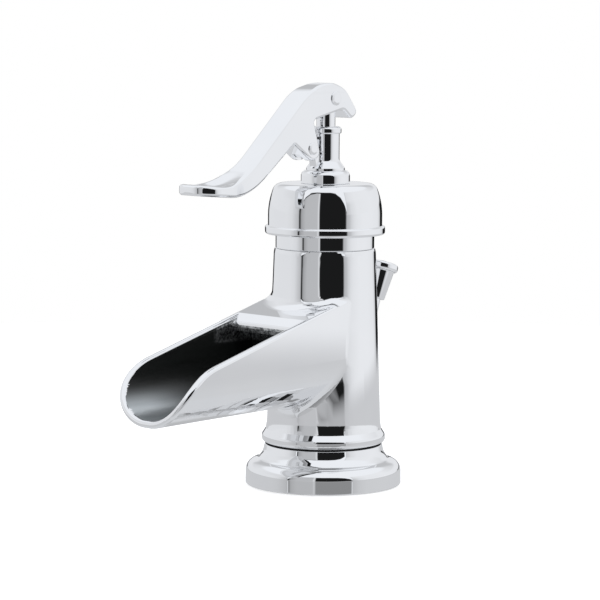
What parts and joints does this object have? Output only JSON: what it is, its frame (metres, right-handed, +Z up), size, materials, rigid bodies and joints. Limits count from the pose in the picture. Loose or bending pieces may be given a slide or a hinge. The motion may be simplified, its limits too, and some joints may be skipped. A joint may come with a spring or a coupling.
{
  "type": "basin faucet",
  "caption": "Single-hole chrome basin faucet with a tapered round column, an open trough spout, a domed handle with a pump-style lever, and a tilted lift knob behind.",
  "frame": {"origin": "on the column's axis, in the plane of the deck under the base flange", "axes": "+Z up along the column, -Y towards the spout and the lever, +X to the right of someone who stands behind the faucet and looks along the spout"},
  "size_m": [0.069, 0.1514, 0.2575],
  "materials": {
    "chrome": "polished chrome plate",
    "brass": "machined brass",
    "copper": "drawn copper tube",
    "steel": "zinc-plated steel",
    "rubber": "black rubber",
    "ceramic": "lapped ceramic",
    "acetal": "moulded acetal"
  },
  "bodies": {
    "faucet_body": {"base_flange": "chrome", "base_gasket": "rubber", "valve_body": "chrome", "bonnet_nut": "chrome", "clamp_ring": "brass", "cartridge_seals": "rubber", "cartridge_base": "acetal", "fixed_ceramic_disc": "ceramic", "cartridge_shell": "acetal", "rod_guide_bush": "acetal", "rod_seal": "rubber", "mounting_shank": "brass", "deck_washer": "rubber", "clamp_washer": "steel", "mounting_nut": "brass", "hot_supply_tube": "copper", "cold_supply_tube": "copper"},
    "swivel": {"cartridge_rotor": "acetal", "lever_pin": "steel"},
    "handle": {"lever_stem": "steel", "handle_dome": "chrome", "handle_grub_screw": "steel", "handle_plinth": "chrome", "post_stud": "steel", "pump_post": "chrome", "pump_rod": "chrome", "pump_lever": "chrome", "upper_pivot_pin": "chrome", "lower_pivot_pin": "chrome"},
    "disc_carriage": {"moving_ceramic_disc": "ceramic", "disc_carrier": "acetal"},
    "lift": {"lift_rod": "chrome", "lift_knob": "chrome"}
  },
  "joints": [
    {"name": "handle_swivel", "type": "hinge", "parent": "faucet_body", "child": "swivel", "pos_m": [0, 0, 0.107], "axis": [0, 0, 1], "range_deg": [-45, 45]},
    {"name": "handle_lift", "type": "hinge", "parent": "swivel", "child": "handle", "pos_m": [0, 0, 0.107], "axis": [-1, 0, 0], "range_deg": [0, 20]},
    {"name": "disc_slide", "type": "slide", "parent": "swivel", "child": "disc_carriage", "axis": [0, -1, 0], "range_m": [0, 0.0058]},
    {"name": "lift_rod_slide", "type": "slide", "parent": "faucet_body", "child": "lift", "axis": [0, 0.309, 0.9511], "range_m": [0, 0.028]}
  ],
  "couplings": [
    {"joint": "disc_slide", "follows": "handle_lift", "m_per_rad": 0.01627}
  ]
}
